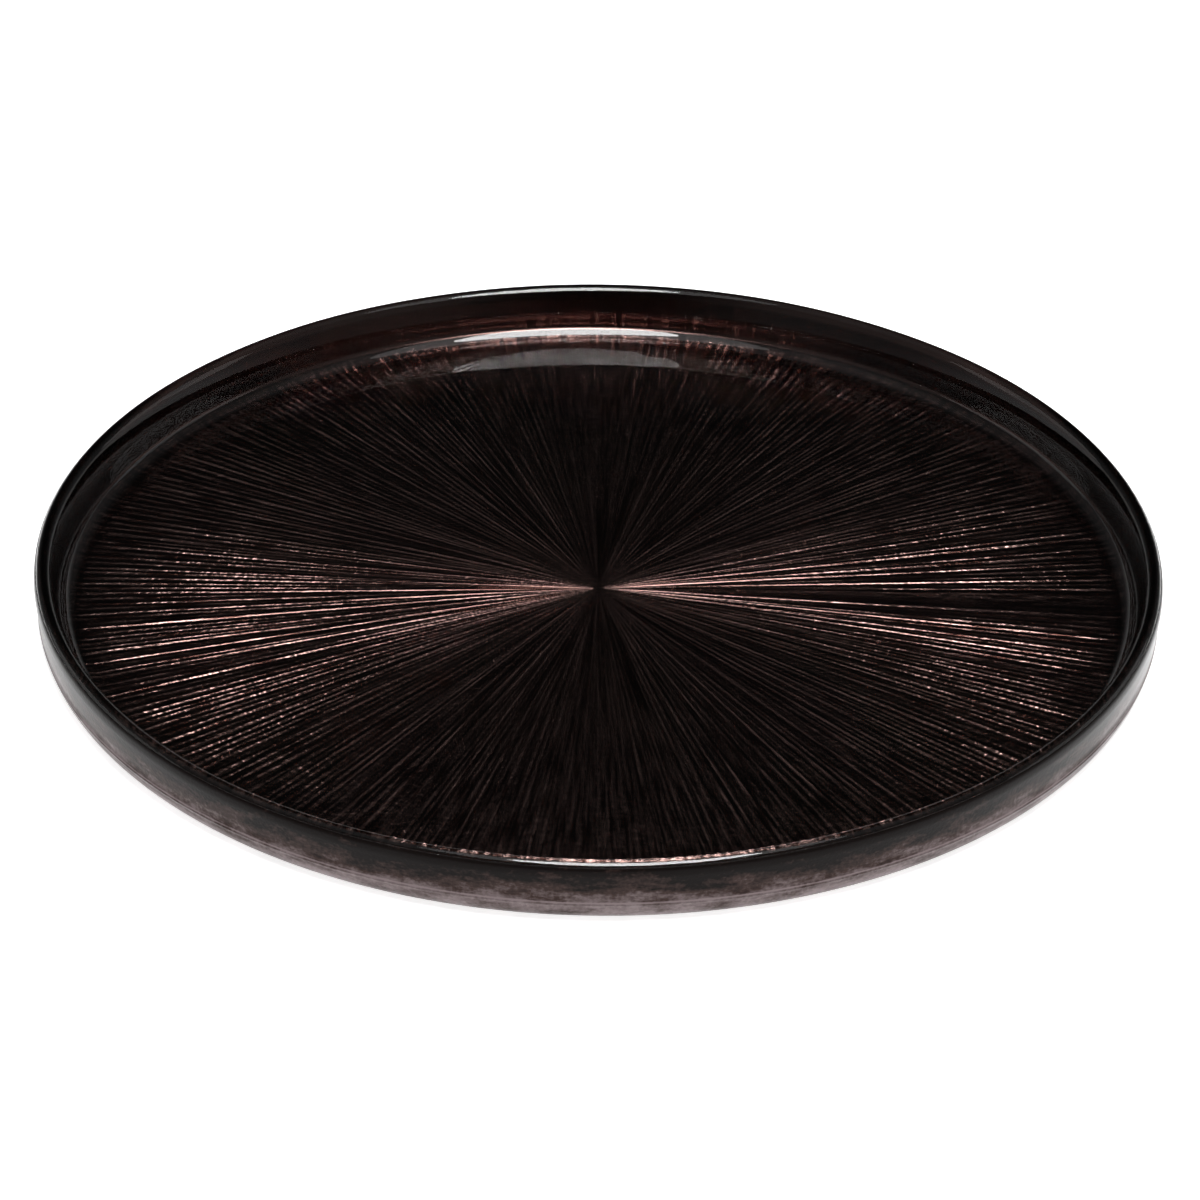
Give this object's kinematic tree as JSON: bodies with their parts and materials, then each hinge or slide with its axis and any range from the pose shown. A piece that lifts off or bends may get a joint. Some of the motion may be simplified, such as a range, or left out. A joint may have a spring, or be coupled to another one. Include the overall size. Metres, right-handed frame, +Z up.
{
  "type": "serving_tray",
  "caption": "Round low-walled serving tray of clear pressed glass with a radiating ribbed underside, lacquered dark brown on its back; holds food or tableware.",
  "frame": {"origin": "centre of the underside, on the table", "axes": "+Z up along the tray's axis of symmetry; X and Y lie in the table plane"},
  "size_m": [0.3299, 0.33, 0.02],
  "materials": {
    "clear_glass": "fire-polished, smooth on top",
    "pearl_lacquer": "near-black brown pearl, glossy where it meets the glass",
    "satin_lacquer": "satin, lightly mottled warm grey-brown"
  },
  "bodies": {
    "root": {"glass_dish": "clear_glass", "colour_coat": "pearl_lacquer", "seal_coat": "satin_lacquer"}
  },
  "joints": []
}
